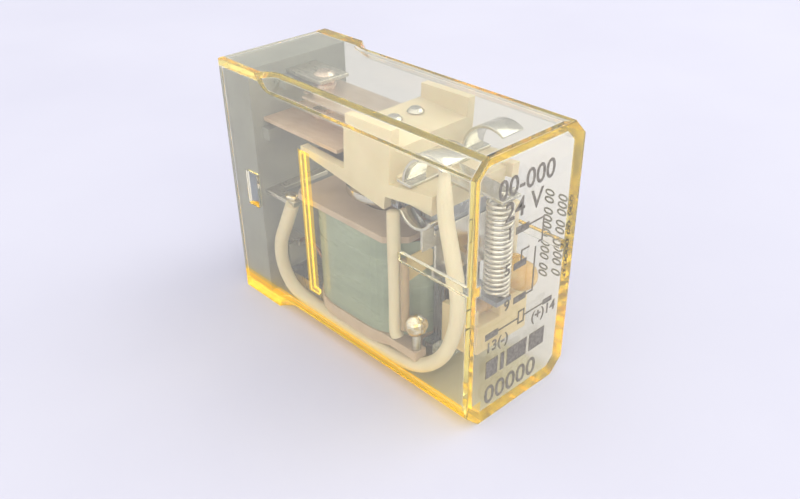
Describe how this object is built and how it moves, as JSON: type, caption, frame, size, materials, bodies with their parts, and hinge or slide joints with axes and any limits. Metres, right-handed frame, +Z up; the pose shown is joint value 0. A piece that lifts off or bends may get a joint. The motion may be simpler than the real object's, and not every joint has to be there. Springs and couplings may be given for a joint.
{
  "type": "plug-in control relay",
  "caption": "Slim plug-in changeover relay in a clear yellowish case, with flat blades, taped coil, hinged armature, contact leaf and amber indicator.",
  "frame": {"origin": "middle of the footprint, on the surface that the relay lies on", "axes": "+X towards the printed end, away from the blades; +Z up from the floor, from the coil blades to the contact blades; +Y across the case"},
  "size_m": [0.042, 0.014, 0.0275],
  "materials": {
    "clear_polycarbonate": "clear, gloss, faint yellow",
    "grey_moulding": "moulded grey thermoplastic, satin",
    "tinned_brass": "tin-plated, satin",
    "silver_contact": "silver alloy, bright",
    "zinc_plated_iron": "zinc-plated soft iron, satin",
    "bobbin_nylon": "moulded glass-filled nylon",
    "copper_wire": "enamelled copper",
    "green_tape": "polyester tape, green",
    "nickel_silver": "bright spring sheet",
    "spring_steel": "drawn spring wire",
    "cream_sleeve": "varnished glass-fibre sleeving",
    "brown_sleeve": "varnished sleeving, brown",
    "solder": "soft solder, bright",
    "cream_moulding": "moulded cream thermoset",
    "cream_tape": "adhesive paper tape",
    "amber_epoxy": "diffused amber epoxy",
    "resistor_coat": "lacquered resistor body",
    "phosphor_bronze": "spring bronze, satin",
    "grey_ink": "pad-printed ink"
  },
  "bodies": {
    "case": {"housing": "clear_polycarbonate", "base": "grey_moulding", "blade_nc": "tinned_brass", "blade_no": "tinned_brass", "blade_com": "tinned_brass", "blade_coil_near": "tinned_brass", "blade_coil_far": "tinned_brass", "nc_contact": "silver_contact", "no_contact": "silver_contact", "yoke": "zinc_plated_iron", "core": "zinc_plated_iron", "bobbin": "bobbin_nylon", "winding": "copper_wire", "coil_tape": "green_tape", "coil_leads": "copper_wire", "hinge_clip": "nickel_silver", "return_spring": "spring_steel", "pigtail_sleeve": "cream_sleeve", "pigtail_solder": "solder", "lead_sleeve_cream": "cream_sleeve", "lead_sleeve_brown": "brown_sleeve", "lead_sleeve_white": "cream_sleeve", "lead_flag": "cream_tape", "coil_posts": "solder", "post_solder": "solder", "lamp_holder": "cream_moulding", "lamp_lens": "amber_epoxy", "lamp_leads": "solder", "lamp_resistor": "resistor_coat", "label_print": "grey_ink"},
    "armature": {"armature": "zinc_plated_iron", "armature_card": "cream_moulding", "tail_plate": "nickel_silver", "curled_ears": "nickel_silver", "leaf_root": "phosphor_bronze", "leaf_rivets": "nickel_silver", "pigtail_end": "cream_sleeve"},
    "contact_leaf": {"contact_leaf": "phosphor_bronze", "moving_contact": "silver_contact"}
  },
  "joints": [
    {"name": "armature_hinge", "type": "hinge", "parent": "case", "child": "armature", "pos_m": [0.0127, 0, 0.0175], "axis": [0, -1, 0], "range_deg": [0, 3.4], "stiffness_Nm_per_rad": 0.005, "springref_deg": -14.32, "deforming": ["return_spring"]},
    {"name": "leaf_flex", "type": "hinge", "parent": "armature", "child": "contact_leaf", "pos_m": [0.0032, 0, 0.02392], "axis": [0, 1, 0], "range_deg": [0, 1.4]}
  ],
  "couplings": [
    {"joint": "leaf_flex", "follows": "armature_hinge", "ratio": 0.4}
  ]
}
